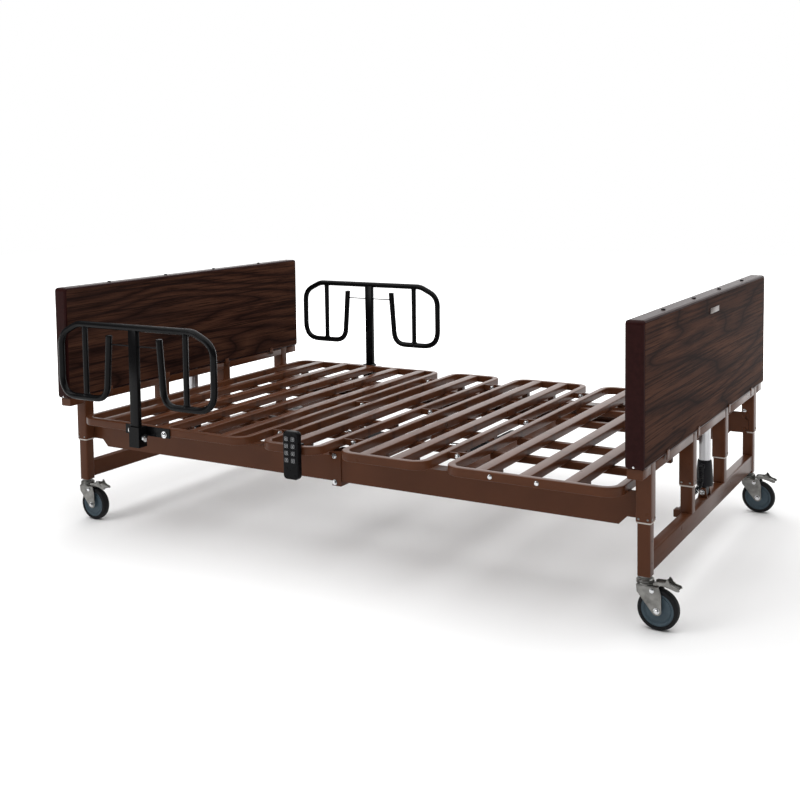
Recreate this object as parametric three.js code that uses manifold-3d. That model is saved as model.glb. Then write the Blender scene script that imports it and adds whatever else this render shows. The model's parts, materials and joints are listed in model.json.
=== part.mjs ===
// Adjustable bariatric hospital bed: two telescoping ends on casters, a four-section slatted deck,
// assist rails, lift and deck actuators and a hand pendant. Millimetres, +Z up, +X to the foot end.
import * as THREE from 'three';
import { mergeVertices } from 'three/addons/utils/BufferGeometryUtils.js';
import Module from 'manifold-3d';

const wasm = await Module();
wasm.setup();

// ---- driving dimensions -------------------------------------------------------------------------
const GAP = 0.3;                                    // space left between touching pieces
const BED_HALF_LENGTH = 1175;                       // outer face of each end board
const BOARD = { thick: 60, width: 1524, bottom: 499, top: 931, round: 9 };
const COLUMN = { x: 1143, outerY: 650, innerY: 207, size: 48, wall: 3, bottom: 322, top: 800 };
const LEG = { size: 40, wall: 3, bottom: 158, top: 700 };
const END_RAIL = { halfWidth: 750, bottom: 468, top: 498.7 };
const CROSSBAR = { bottom: 165, top: 228, depth: 36 };
const LIFT = { tubeR: 20, boreR: 12, rodR: 9, motorR: 28, motorBottom: 266, motorTop: 356, tubeTop: 760 };
const DECK = { halfWidth: 745, bottom: 402, top: 431, bar: 25, corner: 60 };
const HINGE = { back: -248, thigh: 69, calf: 478, z: 418 };
const SECTION = {
  back: { from: -1076, to: -280, slats: [-956, -812, -668, -524, -380] },
  seat: { from: -216, to: 30, slats: [-105] },
  thigh: { from: 108, to: 446, slats: [210, 330] },
  calf: { from: 510, to: 1094, slats: [638, 788, 936] },
};
const SLAT = { width: 42, bottom: 403, top: 430.4 };
const RUNNER = { ys: [-400, -180, 180, 400], width: 25, bottom: 378 };
const LUG = { ys: [-560, 0, 560], radius: 11, thick: 6, offset: 7 };
const SIDE_RAIL = { face: 625, depth: 58, wall: 4, bottom: 291, top: 380, end: 1042 };
const JOINT = { x: 36, width: 36, bottom: 275, top: 397, face: 629 };
const HOOK_PIN = { x: 1131, radius: 6, heights: [333, 384] };
const LEVER = { drop: 128, thick: 6, y: 13.5 };     // drop: deck hinge down to the push point
const CASTER = { trail: 40, wheelR: 62.5, rimR: 50, tyreWidth: 32, top: 157.7 };
const PENDANT = { x: -53, width: 62, depth: 24, bottom: 322, top: 488, back: -752 };
const BUTTON = { width: 20, height: 18, proud: 1.6, pitchX: 27, pitchZ: 24.6, rows: 4, topZ: 462 };
const ASSIST = { centreX: -723, offset: 28, y: 778, boltSpan: 82, reach: 375, tube: 12.5 };
const ASSIST_LIFT = { left: 0, right: 18 };         // the two rails are pinned one hole apart
const PEDAL_TIP = 107;                              // reach of the brake pedal from the caster stem
const CLIP = { strap: 12, proud: 3.3, bottom: 484, top: 514 };
const CABLE_BOX = { y: 206, half: 16, z: 221 };     // gland box that takes the lift motor's cable
const WALL = 2.5;                                   // wall of the deck's tubes
// all casters trail towards the foot end, so the box of the whole bed is centred this far from mid-bed
const BOX_CENTRE = (COLUMN.x + PEDAL_TIP - BED_HALF_LENGTH - CLIP.proud) / 2;

const PAINT = { brown: [0x6b4032, 0.38, 0.25], board: [0x4a2b20, 0.42, 0], black: [0x141416, 0.3, 0.1],
  plastic: [0x1b1c1f, 0.5, 0], zinc: [0xa9a7a1, 0.35, 0.85], steel: [0xc2c4c6, 0.28, 0.9],
  alloy: [0xb9bbbd, 0.32, 0.85], hub: [0x5f7079, 0.5, 0], tyre: [0x26282a, 0.75, 0],
  key: [0x2b2d31, 0.55, 0], cable: [0x0f1012, 0.6, 0] };

// ---- geometry helpers ---------------------------------------------------------------------------
function solid(geometry) {
  const bare = geometry.clone();
  bare.deleteAttribute('normal');
  bare.deleteAttribute('uv');
  const merged = mergeVertices(bare, 1e-4);
  const vertProperties = new Float32Array(merged.attributes.position.array);
  const triVerts = new Uint32Array(merged.index.array);
  return new wasm.Manifold(new wasm.Mesh({ numProp: 3, vertProperties, triVerts }));
}

const join = (...parts) => wasm.Manifold.union(parts.flat());

function block(x0, x1, y0, y1, z0, z1) {
  const box = new THREE.BoxGeometry(Math.abs(x1 - x0), Math.abs(y1 - y0), Math.abs(z1 - z0));
  return solid(box.translate((x0 + x1) / 2, (y0 + y1) / 2, (z0 + z1) / 2));
}

// cylinder along 'x', 'y' or 'z' from a to b, its axis through the two other coordinates
function rod(axis, a, b, u, v, radius, sides = 24) {
  const shape = new THREE.CylinderGeometry(radius, radius, Math.abs(b - a), sides);
  const middle = (a + b) / 2;
  if (axis === 'x') return solid(shape.rotateZ(Math.PI / 2).translate(middle, u, v));
  if (axis === 'y') return solid(shape.translate(u, middle, v));
  return solid(shape.rotateX(Math.PI / 2).translate(u, v, middle));
}

function turned(profile, sides = 32) {               // profile [radius, z] turned round Z
  const points = profile.map(([r, z]) => new THREE.Vector2(r, z));
  return solid(new THREE.LatheGeometry(points, sides).rotateX(Math.PI / 2));
}

function outline(points) {
  const shape = new THREE.Shape();
  points.forEach(([x, y], i) => (i ? shape.lineTo(x, y) : shape.moveTo(x, y)));
  shape.closePath();
  return shape;
}

function roundedShape(x0, x1, y0, y1, r) {
  const shape = new THREE.Shape();
  shape.moveTo(x0 + r, y0);
  shape.lineTo(x1 - r, y0);
  shape.absarc(x1 - r, y0 + r, r, -Math.PI / 2, 0);
  shape.lineTo(x1, y1 - r);
  shape.absarc(x1 - r, y1 - r, r, 0, Math.PI / 2);
  shape.lineTo(x0 + r, y1);
  shape.absarc(x0 + r, y1 - r, r, Math.PI / 2, Math.PI);
  shape.lineTo(x0, y0 + r);
  shape.absarc(x0 + r, y0 + r, r, Math.PI, 1.5 * Math.PI);
  return shape;
}

// a shape drawn in X-Z, given a thickness in Y from y0 to y1
function plateXZ(shape, y0, y1, curveSegments = 5) {
  const geometry = new THREE.ExtrudeGeometry(shape, { depth: Math.abs(y1 - y0), bevelEnabled: false,
    curveSegments });
  return solid(geometry.rotateX(Math.PI / 2).translate(0, Math.max(y0, y1), 0));
}

function slabXY(shape, z0, z1, curveSegments = 5) {
  const geometry = new THREE.ExtrudeGeometry(shape, { depth: z1 - z0, bevelEnabled: false, curveSegments });
  return solid(geometry.translate(0, 0, z0));
}

// round tube through the corner points, each inner corner turned on its own radius
function bentTube(points, radius, bends, sides = 8, steps = 56) {
  const path = new THREE.CurvePath();
  const corners = points.map((p) => new THREE.Vector3(...p));
  let start = corners[0];
  for (let i = 1; i < corners.length - 1; i += 1) {
    const back = corners[i - 1].clone().sub(corners[i]).normalize();
    const ahead = corners[i + 1].clone().sub(corners[i]).normalize();
    const reach = bends[i - 1] / Math.tan(back.angleTo(ahead) / 2);
    const a = corners[i].clone().addScaledVector(back, reach);
    const b = corners[i].clone().addScaledVector(ahead, reach);
    path.add(new THREE.LineCurve3(start, a));
    path.add(new THREE.QuadraticBezierCurve3(a, corners[i], b));
    start = b;
  }
  path.add(new THREE.LineCurve3(start, corners.at(-1)));
  return sweep(path, radius, sides, steps);
}

function sweep(path, radius, sides, steps) {
  const section = new THREE.Shape();
  for (let i = 0; i <= sides; i += 1) {
    const turn = (2 * Math.PI * i) / sides;
    const [x, y] = [radius * Math.cos(turn), radius * Math.sin(turn)];
    if (i) section.lineTo(x, y);
    else section.moveTo(x, y);
  }
  return solid(new THREE.ExtrudeGeometry(section, { steps, extrudePath: path, bevelEnabled: false }));
}

const bed = new THREE.Group();
const model = new THREE.Group();
model.position.x = -BOX_CENTRE;
bed.add(model);

function add(name, shape, paint) {
  const mesh = shape.getMesh();
  const geometry = new THREE.BufferGeometry();
  geometry.setAttribute('position', new THREE.Float32BufferAttribute(mesh.vertProperties, 3));
  geometry.setIndex(new THREE.Uint32BufferAttribute(mesh.triVerts, 1));
  geometry.computeVertexNormals();
  const [color, roughness, metalness] = PAINT[paint];
  const piece = new THREE.Mesh(geometry, new THREE.MeshStandardMaterial({ color, roughness, metalness }));
  piece.name = name;
  model.add(piece);
}

const flip = (shape, sx, sy) => {                    // mirror in X and/or Y, staying right side out
  let out = shape;
  if (sx < 0) out = out.mirror([1, 0, 0]);
  if (sy < 0) out = out.mirror([0, 1, 0]);
  return out;
};

// ---- the two ends -------------------------------------------------------------------------------
const COLUMN_YS = [-COLUMN.outerY, -COLUMN.innerY, COLUMN.innerY, COLUMN.outerY];

function squareTube(x, y, size, wall, z0, z1, openTop) {
  const half = size / 2;
  const inside = half - wall;
  const shell = block(x - half, x + half, y - half, y + half, z0, z1);
  const roof = openTop ? z1 + 1 : z1 - wall;
  return shell.subtract(block(x - inside, x + inside, y - inside, y + inside, z0 - 1, roof));
}

function boardPanel() {                              // bevelled slab with pockets for the columns
  const { thick, width, bottom, top, round } = BOARD;
  const face = roundedShape(-width / 2 + round, width / 2 - round, bottom + round, top - round, 4);
  const slab = new THREE.ExtrudeGeometry(face, { depth: thick - 2 * round, bevelSize: round,
    bevelThickness: round, bevelSegments: 2, curveSegments: 2 });
  const turn = new THREE.Matrix4().makeBasis(new THREE.Vector3(0, 1, 0), new THREE.Vector3(0, 0, 1),
    new THREE.Vector3(1, 0, 0));
  slab.applyMatrix4(turn).translate(BED_HALF_LENGTH - thick + round, 0, 0);
  const fit = COLUMN.size / 2 + 0.5;
  const pockets = COLUMN_YS.map((y) => block(COLUMN.x - fit, COLUMN.x + fit, y - fit, y + fit,
    bottom - 1, COLUMN.top + 1));
  const liftPocket = rod('z', bottom - 1, 906, COLUMN.x, 0, LIFT.tubeR + 4, 20);
  return solid(slab).subtract(join(pockets, liftPocket));
}

function panelClip(y) {                              // folded straps that grip both board faces
  const outer = BED_HALF_LENGTH;
  const inner = BED_HALF_LENGTH - BOARD.thick;
  const railOut = COLUMN.x + COLUMN.size / 2;
  const railIn = COLUMN.x - COLUMN.size / 2;
  const { strap, proud, bottom, top } = CLIP;
  const strip = (x0, x1, height) => block(x0, x1, y - strap, y + strap, bottom, height);
  return join(
    strip(railOut - 1, outer + proud, END_RAIL.top), strip(outer + GAP, outer + proud, top),
    strip(inner - proud, railIn + 1, END_RAIL.top), strip(inner - proud, inner - GAP, top));
}

function endFrame() {                                // head rail with four column sleeves
  const { x, size, wall } = COLUMN;
  const half = size / 2;
  const rail = block(x - half, x + half, -END_RAIL.halfWidth, END_RAIL.halfWidth, END_RAIL.bottom,
    END_RAIL.top);
  const sleeves = COLUMN_YS.map((y) => block(x - half, x + half, y - half, y + half, COLUMN.bottom,
    COLUMN.top));
  const bore = half - wall;
  const hollow = block(x - bore, x + bore, -END_RAIL.halfWidth - 1, END_RAIL.halfWidth + 1,
    END_RAIL.bottom + wall, END_RAIL.top - wall);
  const drains = [-430, 430].map((y) => rod('z', END_RAIL.bottom - 1, END_RAIL.bottom + 10, x, y, 4, 8));
  const sleeveWalls = COLUMN_YS.map((y) => block(x - half, x + half, y - half, y + half,
    END_RAIL.bottom, END_RAIL.top));
  const bores = COLUMN_YS.map((y) => block(x - bore, x + bore, y - bore, y + bore, COLUMN.bottom - 1,
    COLUMN.top - wall));
  const liftHole = rod('z', END_RAIL.bottom - 1, END_RAIL.top + 1, x, 0, LIFT.tubeR + 2);
  const pins = [-1, 1].flatMap((side) => HOOK_PIN.heights.map((z) => rod('y',
    side * (COLUMN.outerY - half + 1), side * (COLUMN.outerY - half - 9), HOOK_PIN.x, z, HOOK_PIN.radius, 12)));
  const clips = [-540, -200, 200, 540].map(panelClip);
  return join(rail.subtract(join(hollow, drains)), sleeves, sleeveWalls, pins, clips)
    .subtract(join(bores, liftHole));
}

function legFrame() {                                // inner legs, crossbar and the lift's foot bracket
  const { x } = COLUMN;
  const legs = COLUMN_YS.map((y) => {
    const floor = Math.abs(y) === COLUMN.outerY ? LEG.bottom : CROSSBAR.bottom + 8;
    return squareTube(x, y, LEG.size, LEG.wall, floor, LEG.top, true);
  });
  const depth = CROSSBAR.depth / 2;
  const barEnd = COLUMN.outerY - LEG.size / 2 + 1;
  const { bottom, top } = CROSSBAR;
  const hollow = block(x - depth + 3, x + depth - 3, 6 - barEnd, barEnd - 6, bottom + 3, top - 3);
  const drains = [-1, 1].map((side) => rod('x', x, x + depth + 1, side * (barEnd - 16), bottom + 11, 4.5, 12));
  const bar = block(x - depth, x + depth, -barEnd, barEnd, bottom, top).subtract(join(hollow, drains));
  const plugs = [-1, 1].map((side) => block(x - 19, x + 19, side * COLUMN.outerY - 19,
    side * COLUMN.outerY + 19, LEG.bottom + 1, LEG.bottom + 22));
  const ears = [-1, 1].map((side) => plateXZ(outline([[x - 17, 226], [x + 17, 226], [x + 10, 262],
    [x - 10, 262]]), side * 21, side * 26));
  const glandBox = block(x - 44, x - 19, -CABLE_BOX.y - CABLE_BOX.half, -CABLE_BOX.y + CABLE_BOX.half,
    CABLE_BOX.z - 13, CABLE_BOX.z + 13);
  return join(legs, bar, plugs, ears, glandBox);
}

function liftMotor() {                               // flared gearmotor housing with its foot eye
  const body = turned([[0, LIFT.motorBottom], [LIFT.motorR, LIFT.motorBottom], [LIFT.motorR + 1, 280],
    [LIFT.motorR - 2, 330], [LIFT.motorR - 4, 350], [LIFT.motorR - 5, LIFT.motorTop], [0, LIFT.motorTop]], 28);
  const eye = block(-11, 11, -20.4, 20.4, 234, 268);
  const pocket = turned([[0, 300], [LIFT.boreR, 300], [LIFT.boreR, 360], [0, 360]], 20);
  const outlet = rod('y', -36, -20, 0, 338, 9, 14);
  return join(body, eye, outlet).subtract(pocket).translate([COLUMN.x, 0, 0]);
}

function liftTube() {
  const { tubeR, boreR, motorTop, tubeTop } = LIFT;
  return turned([[boreR, motorTop + GAP], [tubeR, motorTop + GAP], [tubeR, tubeTop], [boreR, tubeTop],
    [boreR, motorTop + GAP]], 32).translate([COLUMN.x, 0, 0]);
}

function liftRod() {                                 // hangs from a head block inside the board
  return turned([[0, 420], [LIFT.rodR, 420], [LIFT.rodR, 882], [LIFT.tubeR, 882], [LIFT.tubeR, 904],
    [0, 904]], 24).translate([COLUMN.x, 0, 0]);
}

const ENDS = [['head', -1], ['foot', 1]];
for (const [end, side] of ENDS) {
  add(`${end}_board`, flip(boardPanel(), side, 1), 'board');
  add(`${end}_end_frame`, flip(endFrame(), side, 1), 'brown');
  add(`${end}_leg_frame`, flip(legFrame(), side, 1), 'brown');
  add(`${end}_lift_motor`, flip(liftMotor(), side, 1), 'plastic');
  add(`${end}_lift_tube`, flip(liftTube(), side, 1), 'alloy');
  add(`${end}_lift_rod`, flip(liftRod(), side, 1), 'steel');
}

// ---- casters ------------------------------------------------------------------------------------
function casterFork() {                              // ball race, crown, two cheeks and the axle
  const race = turned([[0, 133], [22, 133], [27, 138], [27, 146], [21, 151], [17, CASTER.top], [0, CASTER.top]], 18);
  const crown = block(-22, 44, -23, 23, 130, 134.5);
  const cheek = new THREE.Shape();
  cheek.moveTo(-22, 134);
  cheek.lineTo(46, 134);
  cheek.lineTo(54, 112);
  cheek.lineTo(CASTER.trail + 15, CASTER.wheelR + 2);
  cheek.absarc(CASTER.trail, CASTER.wheelR, 15, 0.13, Math.PI + 0.5, true);
  cheek.lineTo(-20, 112);
  cheek.closePath();
  const cheeks = [-1, 1].map((side) => plateXZ(cheek, side * 19.5, side * 23));
  const axle = rod('y', -28, 28, CASTER.trail, CASTER.wheelR, 6, 16);
  return join(race, crown, cheeks, axle);
}

function casterHub() {                               // spoked-looking hub disc with a long boss
  const { rimR } = CASTER;
  const profile = [[6.6, -17], [13, -17], [14, -7], [38, -7], [42, -13], [rimR - 0.2, -13],
    [rimR - 0.2, 13], [42, 13], [38, 7], [14, 7], [13, 17], [6.6, 17], [6.6, -17]];
  return wheelPiece(profile);
}

function casterTyre() {
  const { rimR, wheelR, tyreWidth } = CASTER;
  const half = tyreWidth / 2;
  const profile = [[rimR + 0.1, -half], [wheelR - 5, -half], [wheelR, -half + 7], [wheelR, half - 7],
    [wheelR - 5, half], [rimR + 0.1, half], [rimR + 0.1, -half]];
  return wheelPiece(profile);
}

function wheelPiece(profile) {
  const points = profile.map(([r, y]) => new THREE.Vector2(r, y));
  return solid(new THREE.LatheGeometry(points, 28)).translate([CASTER.trail, 0, CASTER.wheelR]);
}

function brakePedal() {                              // foot lever over the wheel
  const lever = [[28, 136.5], [56, 138], [78, 133], [97, 127], [PEDAL_TIP, 131], [104, 137], [90, 141],
    [80, 147], [73, 158], [67, 159], [63, 149], [34, 147], [28, 143]];
  return plateXZ(outline(lever), -17, 17);
}

const CORNERS = ENDS.flatMap(([end, sx]) => [['left', -1], ['right', 1]].map(([hand, sy]) => (
  { name: `${end}_${hand}`, x: sx * COLUMN.x, y: sy * COLUMN.outerY })));
for (const corner of CORNERS) {
  const place = (shape) => shape.translate([corner.x, corner.y, 0]);
  add(`${corner.name}_caster_fork`, place(casterFork()), 'zinc');
  add(`${corner.name}_caster_hub`, place(casterHub()), 'hub');
  add(`${corner.name}_caster_tyre`, place(casterTyre()), 'tyre');
  add(`${corner.name}_brake_pedal`, place(brakePedal()), 'zinc');
}

// ---- side rails and cross-members ---------------------------------------------------------------
function channel(x0, x1) {                           // C-section, open towards the middle of the bed
  const { face, depth, wall, bottom, top } = SIDE_RAIL;
  return join(
    block(x0, x1, face - wall, face, bottom, top),
    block(x0, x1, face - depth, face, bottom, bottom + wall),
    block(x0, x1, face - depth, face, top - wall, top),
    block(x0, x1, face - depth, face - depth + wall, bottom, bottom + 16),
    block(x0, x1, face - depth, face - depth + wall, top - 16, top));
}

function hookPlate() {                               // drops over the two pins on the outer column
  const { face, wall } = SIDE_RAIL;
  const plate = plateXZ(outline([[990, 291], [1052, 291], [1078, 318], [1143, 318], [1147, 322], [1147, 392],
    [1139, 400], [1070, 400], [1044, 380], [990, 380]]), face - wall, face);
  const notches = HOOK_PIN.heights.map((z) => join(
    rod('y', face - 10, face + 5, HOOK_PIN.x, z, HOOK_PIN.radius + 1, 20),
    plateXZ(outline([[HOOK_PIN.x - 7, z], [HOOK_PIN.x + 3, z + 6], [1150, z - 8], [1150, z - 20]]),
      face - 10, face + 5)));
  return plate.subtract(join(notches));
}

function sideRail() {                                // foot-end right rail; the others are mirrored
  const start = JOINT.x + JOINT.width / 2 + GAP;
  const socket = block(1000, SIDE_RAIL.end, SIDE_RAIL.face - SIDE_RAIL.depth + 3, SIDE_RAIL.face - 3, 300, 352)
    .subtract(block(999, SIDE_RAIL.end + 1, SIDE_RAIL.face - SIDE_RAIL.depth + 6, SIDE_RAIL.face - 6, 303, 349));
  return join(channel(start, SIDE_RAIL.end), hookPlate(), socket);
}

function headRail() {                                // same section, cut to meet the joint bracket
  const cut = JOINT.x - JOINT.width / 2 - GAP;
  const full = join(channel(-cut, SIDE_RAIL.end), hookPlate());
  return full.mirror([1, 0, 0]);
}

for (const [hand, sy] of [['left', -1], ['right', 1]]) {
  add(`head_${hand}_side_rail`, flip(headRail(), 1, sy), 'brown');
  add(`foot_${hand}_side_rail`, flip(sideRail(), 1, sy), 'brown');
}

function centreCrossmember() {                       // two joint boxes on one cross tube
  const { x, width, bottom, top, face } = JOINT;
  const half = width / 2;
  const inner = SIDE_RAIL.face - SIDE_RAIL.depth - 4;
  const boxes = [-1, 1].map((side) => {
    const outside = block(x - half, x + half, side * face, side * inner, bottom, top);
    const inside = block(x - half + 3, x + half - 3, side * (face - 4), side * (inner + 4), bottom + 4, top + 1);
    return outside.subtract(inside);
  });
  const tube = block(x - 17, x + 17, -inner - 1, inner + 1, 305, 345);
  const hollow = block(x - 14, x + 14, -inner - 6, inner + 6, 308, 342);
  return join(boxes, tube).subtract(hollow);
}

function crossTube(x, pivot) {                       // carries an actuator's fixed clevis
  const reach = SIDE_RAIL.face - SIDE_RAIL.depth - GAP;
  const tube = block(x - 20, x + 20, -reach, reach, 297, 337)
    .subtract(block(x - 17, x + 17, -reach - 1, reach + 1, 300, 334));
  const towards = Math.sign(pivot - x);
  const ears = [-1, 1].map((side) => plateXZ(outline([[x, 300], [pivot + towards * 12, 300],
    [pivot + towards * 12, 322], [x, 334]]), side * 20, side * 26));
  return join(tube, ears);
}

const PIVOT = { back: -720, leg: 400, z: 310 };
add('centre_crossmember', centreCrossmember(), 'brown');
add('head_cross_tube', crossTube(PIVOT.back - 40, PIVOT.back), 'brown');
add('foot_cross_tube', crossTube(PIVOT.leg + 40, PIVOT.leg), 'brown');

// ---- deck sections ------------------------------------------------------------------------------
function hingeLug(from, axisX, y) {                  // flat eye reaching from an end bar to the hinge
  const { radius, thick } = LUG;
  const side = Math.sign(axisX - from);
  const shape = new THREE.Shape();
  shape.moveTo(from - side * 2, HINGE.z - radius);
  shape.lineTo(axisX, HINGE.z - radius);
  shape.absarc(axisX, HINGE.z, radius, -Math.PI / 2, Math.PI / 2, side < 0);
  shape.lineTo(from - side * 2, HINGE.z + radius);
  shape.closePath();
  return plateXZ(shape, y - thick / 2, y + thick / 2, 4);
}

function deckSection({ from, to, slats }, lugs, pads) {
  const { halfWidth, bottom, top, bar, corner } = DECK;
  const outer = slabXY(roundedShape(from, to, -halfWidth, halfWidth, corner), bottom, top);
  const inner = slabXY(roundedShape(from + bar, to - bar, -halfWidth + bar, halfWidth - bar, corner - bar),
    bottom - 1, top + 1);
  const groove = slabXY(roundedShape(from + WALL, to - WALL, WALL - halfWidth, halfWidth - WALL,
    corner - WALL), bottom + WALL, top - WALL).subtract(slabXY(roundedShape(from + bar - WALL,
    to - bar + WALL, bar - WALL - halfWidth, halfWidth - bar + WALL, corner - bar + WALL), bottom, top));
  const reach = halfWidth - bar + 1;
  const across = (x, inset, ends) => block(x - SLAT.width / 2 + inset, x + SLAT.width / 2 - inset, -ends, ends,
    SLAT.bottom + inset, SLAT.top - inset);
  const cross = slats.map((x) => across(x, 0, reach));
  const slatBores = slats.map((x) => across(x, WALL, halfWidth - bar / 2));
  const half = RUNNER.width / 2;
  const along = (y, inset, trim) => block(from + trim, to - trim, y - half + inset, y + half - inset,
    RUNNER.bottom + inset, bottom + 2 - inset);
  const runners = RUNNER.ys.map((y) => along(y, 0, 8));
  const runnerBores = RUNNER.ys.map((y) => along(y, WALL, 7));
  const drains = [-1, 1].map((side) => rod('z', bottom - 1, bottom + 5, (from + to) / 2,
    side * (halfWidth - bar / 2), 4, 10));
  const rest = pads.flatMap((x) => [-1, 1].map((side) => block(x - 12, x + 12, side * 578, side * 612,
    SIDE_RAIL.top + GAP, bottom + 4)));
  return join(outer.subtract(inner), cross, runners, lugs, rest)
    .subtract(join(groove, slatBores, runnerBores, drains));
}

const lugRow = (from, axisX, side) => LUG.ys.map((y) => hingeLug(from, axisX, y + side * LUG.offset));

function lever(axisX, side) {                        // crank under the hinge; side -1 leans to the head
  const tip = HINGE.z - LEVER.drop;
  const shape = new THREE.Shape();
  shape.moveTo(axisX + side * 40, 404);
  shape.lineTo(axisX + side * 190, 404);
  shape.lineTo(axisX + side * 190, 384);
  shape.lineTo(axisX + side * 23, tip - 6);
  shape.absarc(axisX + side * 10, tip, 14, side > 0 ? -0.42 : Math.PI + 0.42, side > 0 ? Math.PI : 0, side > 0);
  shape.closePath();
  return [-1, 1].map((hand) => plateXZ(shape, hand * LEVER.y, hand * (LEVER.y + LEVER.thick)));
}

const { back, seat, thigh, calf } = SECTION;
add('back_section', deckSection(back, join(lugRow(back.to, HINGE.back, -1), lever(HINGE.back, -1)),
  [-956, -668, -380]), 'brown');
add('seat_section', deckSection(seat, join(lugRow(seat.from, HINGE.back, 1), lugRow(seat.to, HINGE.thigh, -1)),
  [-204, -105, 5]), 'brown');
add('thigh_section', deckSection(thigh, join(lugRow(thigh.from, HINGE.thigh, 1),
  lugRow(thigh.to, HINGE.calf, -1), lever(HINGE.thigh, 1)), [210, 330]), 'brown');
add('calf_section', deckSection(calf, join(lugRow(calf.from, HINGE.calf, 1)), [638, 936]), 'brown');

// ---- deck actuators -----------------------------------------------------------------------------
// A pull actuator from a fixed clevis to a lever tip, drawn along +X and then set at its slope.
function actuator(pivotX, tipX, stroke) {
  const run = tipX - pivotX;
  const length = Math.hypot(run, PIVOT.z - (HINGE.z - LEVER.drop));
  const slope = Math.atan2(PIVOT.z - (HINGE.z - LEVER.drop), Math.abs(run));
  const bodyEnd = length - 142;
  const eye = rod('y', -13, 13, 0, 0, 13, 20);
  const gearbox = block(0, 96, -13, 13, -20, 20);
  const profile = block(94, bodyEnd, -27, 27, -22, 22);
  const motor = rod('y', 12, 150, 48, 4, 33, 28);
  const bore = rod('x', bodyEnd - stroke - 55, bodyEnd + 1, 0, 0, 11.5, 20);
  const housing = join(eye, gearbox, profile, motor).subtract(bore);
  const stem = join(rod('x', bodyEnd - 45, length, 0, 0, 10, 20), rod('y', -11, 11, length, 0, 13, 20));
  const set = (shape) => flip(shape.rotate([0, (slope * 180) / Math.PI, 0]), Math.sign(run), 1)
    .translate([pivotX, 0, PIVOT.z]);
  return { housing: set(housing), stem: set(stem) };
}

const backDrive = actuator(PIVOT.back, HINGE.back - 10, 107);
const legDrive = actuator(PIVOT.leg, HINGE.thigh + 10, 64);
add('back_actuator', backDrive.housing, 'alloy');
add('back_actuator_rod', backDrive.stem, 'steel');
add('leg_actuator', legDrive.housing, 'plastic');
add('leg_actuator_rod', legDrive.stem, 'steel');

// ---- control box, pendant and buttons -----------------------------------------------------------
const controlFlange = block(-96, JOINT.x - 17 - GAP, -250, -110, 341, 345);
add('control_box', join(block(-150, 6, -262, -98, 288, 342), controlFlange), 'plastic');

function pendantCase() {
  const { x, width, depth, bottom, top, back: rear } = PENDANT;
  const half = width / 2;
  const round = 4;
  const face = roundedShape(x - half + round, x + half - round, bottom + round, top - round, 10);
  const body = new THREE.ExtrudeGeometry(face, { depth: depth - 2 * round, bevelSize: round,
    bevelThickness: round, bevelSegments: 2, curveSegments: 3 });
  body.rotateX(Math.PI / 2).translate(0, rear - round, 0);
  const bar = -DECK.halfWidth;
  const hook = join(
    block(x - 14, x + 14, rear - 3, bar + DECK.bar + 5, DECK.top + 1.5, DECK.top + 5),
    block(x - 14, x + 14, bar + DECK.bar + 1.5, bar + DECK.bar + 5, DECK.top - 18, DECK.top + 5));
  const wells = keys().map(({ x: kx, z: kz }) => block(kx - BUTTON.width / 2 - 0.4, kx + BUTTON.width / 2 + 0.4,
    rear - depth - 2, rear - depth + 5.5, kz - BUTTON.height / 2 - 0.4, kz + BUTTON.height / 2 + 0.4));
  return join(solid(body), hook).subtract(join(wells));
}

function keys() {
  const list = [];
  for (let row = 0; row < BUTTON.rows; row += 1) {
    for (const column of [-1, 1]) {
      list.push({ x: PENDANT.x - 2 + (column * BUTTON.pitchX) / 2, z: BUTTON.topZ - row * BUTTON.pitchZ });
    }
  }
  return list;
}

add('pendant_case', pendantCase(), 'plastic');
keys().forEach(({ x, z }, i) => {
  const front = PENDANT.back - PENDANT.depth;
  const { width, height, proud } = BUTTON;
  const cap = plateXZ(roundedShape(x - width / 2, x + width / 2, z - height / 2, z + height / 2, 4),
    front - proud, front + 2.6, 2);
  add(`pendant_button_${i + 1}`, cap, 'key');
});

// ---- assist rails -------------------------------------------------------------------------------
function assistRail(lift) {                          // drawn for the left side, post at x = 0
  const { reach, tube, y } = ASSIST;
  const low = 521 + lift;
  const high = 801 + lift;
  const path = [[-124, -y, 762 + lift], [-142, -y, low], [-reach, -y, low], [-reach, -y, 757 + lift],
    [-285, -y, high], [285, -y, high], [reach, -y, 757 + lift], [reach, -y, low], [142, -y, low],
    [124, -y, 762 + lift]];
  const hoop = bentTube(path, tube, [62, 76, 72, 90, 90, 72, 76, 62]);
  const bars = [-248, 248].map((x) => rod('z', low, high, x, -y, 11, 12));
  const retainer = rod('x', -132, 132, -y, 733 + lift, 2.5, 8);
  const post = block(-20, 20, -y - 10, -y + 10, 362 + lift, high - 4);
  return join(hoop, bars, retainer, post);
}

function railSocket(bolts, lift) {                   // sleeve on a bolted plate, with the plunger boss
  const { y, boltSpan } = ASSIST;
  const plateFace = -DECK.halfWidth - GAP;
  const sleeve = block(-24, 24, -y - 14, plateFace - 4, 357, 433)
    .subtract(block(-20.4, 20.4, -y - 10.4, -y + 10.4, 357 + 3 + lift, 440));
  const plate = block(bolts - boltSpan - 26, bolts + boltSpan + 26, plateFace - 5, plateFace, 396, 431);
  const boss = rod('x', 22, 30, -y + 3, 393, 9, 20);
  const bore = rod('x', 21.5, 31, -y + 3, 393, 4.6, 16);
  return join(sleeve, plate, boss).subtract(bore);
}

function plungerKnob() {                             // pull knob on its stem
  const profile = [[0, 22.6], [4.2, 22.6], [4.2, 33], [12.5, 35], [13, 43], [0, 46]];
  const shape = turned(profile, 20).rotate([0, 90, 0]);
  return shape.translate([0, -ASSIST.y + 3, 393]);
}

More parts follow.
